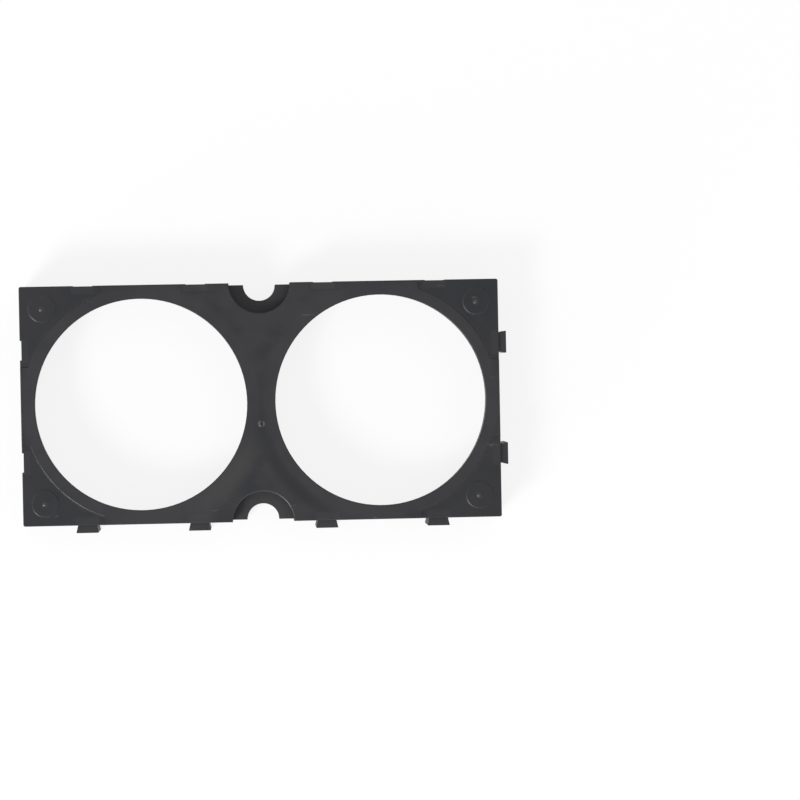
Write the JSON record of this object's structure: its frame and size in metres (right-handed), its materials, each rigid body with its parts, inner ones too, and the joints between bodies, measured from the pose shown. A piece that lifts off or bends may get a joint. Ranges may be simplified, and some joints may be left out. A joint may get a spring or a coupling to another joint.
{
  "type": "battery cell holder bracket",
  "caption": "Flat moulded plastic bracket with round cell seats side by side, dovetail tabs and slots on its edges, and half-round screw notches between the seats.",
  "frame": {"origin": "on the cell side of the plate, half way between the two cell axes", "axes": "+X from one cell to the other, towards the edge with the two tabs; +Y towards the long edge with the slots; +Z along the cells, out of the outer face with the lips"},
  "size_m": [0.0731, 0.0371, 0.0087],
  "materials": {
    "cell_bracket": "semi-matte moulded black flame-retardant ABS"
  },
  "bodies": {
    "root": {"cell_bracket": "cell_bracket"}
  },
  "joints": []
}
